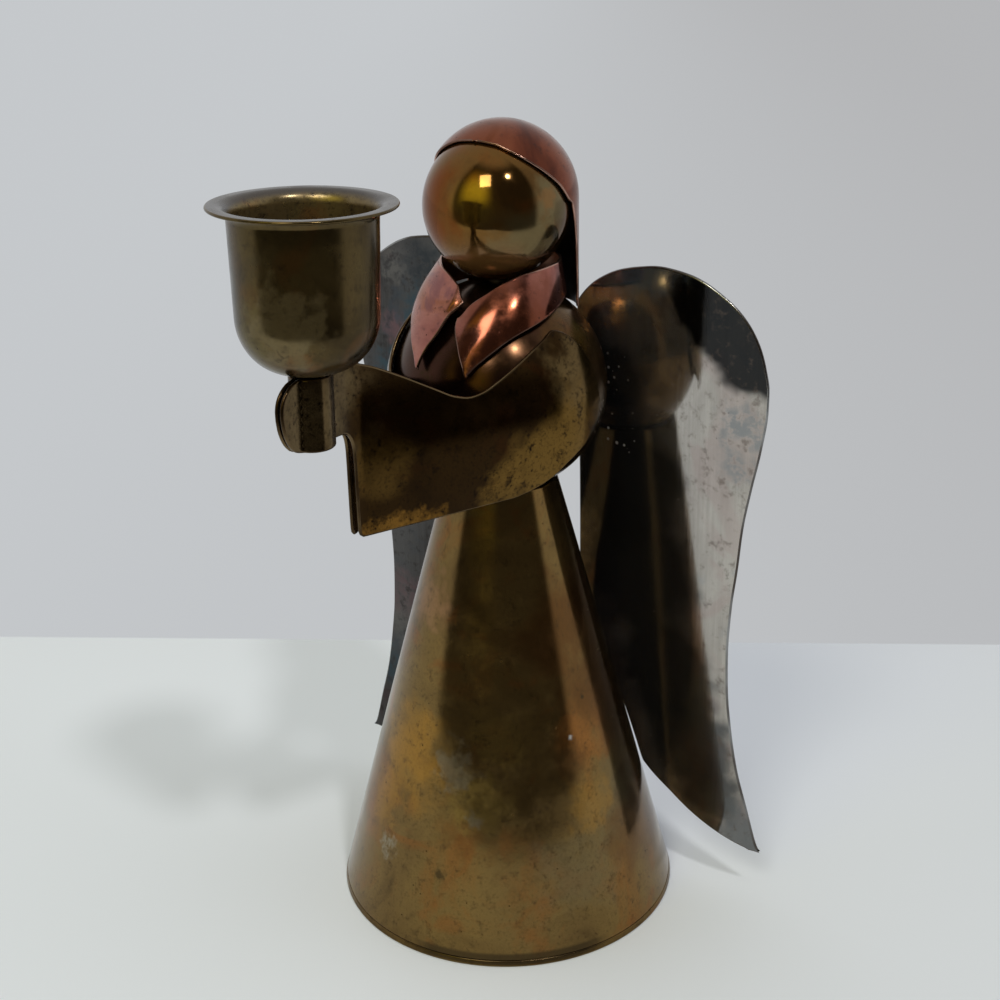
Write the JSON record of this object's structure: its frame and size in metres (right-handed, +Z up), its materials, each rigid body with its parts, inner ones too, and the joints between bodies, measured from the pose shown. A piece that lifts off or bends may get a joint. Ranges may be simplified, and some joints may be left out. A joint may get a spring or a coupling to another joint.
{
  "type": "candle holder",
  "caption": "Free-standing sheet-metal angel figure with a cone skirt, ball torso and head, copper hood and scarf, flat wings and arms holding a candle cup.",
  "frame": {"origin": "middle of the base plate's underside, on the table and on the axis of the skirt", "axes": "+Z up, the figure faces -Y, its left hand side is +X"},
  "size_m": [0.0972, 0.1014, 0.155],
  "materials": {
    "brass": "polished, aged and tarnished",
    "copper": null,
    "silver_plate": "worn silver plate with dark tarnish",
    "steel": "plain"
  },
  "bodies": {
    "root": {"base_plate": "brass", "skirt": "brass", "spreader_disc": "steel", "washer": "steel", "hex_nut": "steel", "tie_rod": "steel", "torso_ball": "brass", "head_ball": "brass", "scarf": "copper", "hood": "copper", "arm_left": "brass", "arm_right": "brass", "wing_left": "silver_plate", "wing_right": "silver_plate", "candle_cup": "brass", "cup_stem": "brass"}
  },
  "joints": []
}
